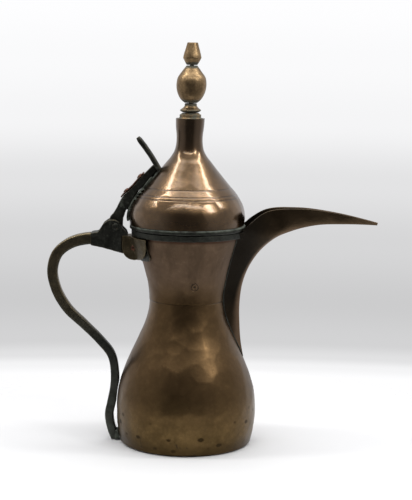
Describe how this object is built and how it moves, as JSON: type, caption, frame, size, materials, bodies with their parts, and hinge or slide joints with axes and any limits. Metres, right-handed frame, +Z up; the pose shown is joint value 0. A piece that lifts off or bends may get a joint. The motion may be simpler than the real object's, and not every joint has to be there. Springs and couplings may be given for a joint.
{
  "type": "dallah coffee pot",
  "caption": "Hammered copper and brass coffee pot with a waisted body, a long curved spout, an S-shaped handle and a tall domed lid on a pinned hinge.",
  "frame": {"origin": "centre of the base, on the surface that the pot stands on", "axes": "+Z up, +X towards the spout, -X towards the handle, +Y to the left of the spout"},
  "size_m": [0.2467, 0.105, 0.3],
  "materials": {
    "belly_brass": "hammered, aged olive-golden patina",
    "neck_copper": "hammered copper, dull grey-brown patina",
    "lid_copper": "hammered copper, worn satin brown patina",
    "dark_bronze": "cast bronze, near-black green patina",
    "spout_copper": "dark brown patina",
    "rim_verdigris": "solder and band with grey-green verdigris",
    "finial_brass": "aged golden brass, verdigris in the joints",
    "red_copper": "dull red copper",
    "tinned_inside": "tinned, grey and dull"
  },
  "bodies": {
    "pot": {"belly_shell": "belly_brass", "bottom_plate": "belly_brass", "neck_shell": "neck_copper", "mouth_ring": "dark_bronze", "spout": "spout_copper", "neck_saddle": "dark_bronze", "hinge_bracket": "dark_bronze", "bracket_rivet": "red_copper", "handle_head": "dark_bronze", "handle_bar": "dark_bronze", "foot_solder": "rim_verdigris", "hinge_pin": "dark_bronze"},
    "lid": {"lid_dome": "lid_copper", "lid_rim_band": "rim_verdigris", "lid_bezel": "tinned_inside", "neck_cap": "finial_brass", "finial_collar": "finial_brass", "finial_ball": "finial_brass", "finial_tip": "finial_brass", "finial_spindle": "finial_brass", "lid_arm": "dark_bronze", "arm_plate": "rim_verdigris", "arm_strip": "red_copper", "arm_rivet_1": "red_copper", "arm_rivet_2": "red_copper", "thumb_piece": "dark_bronze"}
  },
  "joints": [
    {"name": "lid_hinge", "type": "hinge", "parent": "pot", "child": "lid", "pos_m": [-0.0535, 0, 0.1636], "axis": [0, -1, 0], "range_deg": [0, 100]}
  ]
}
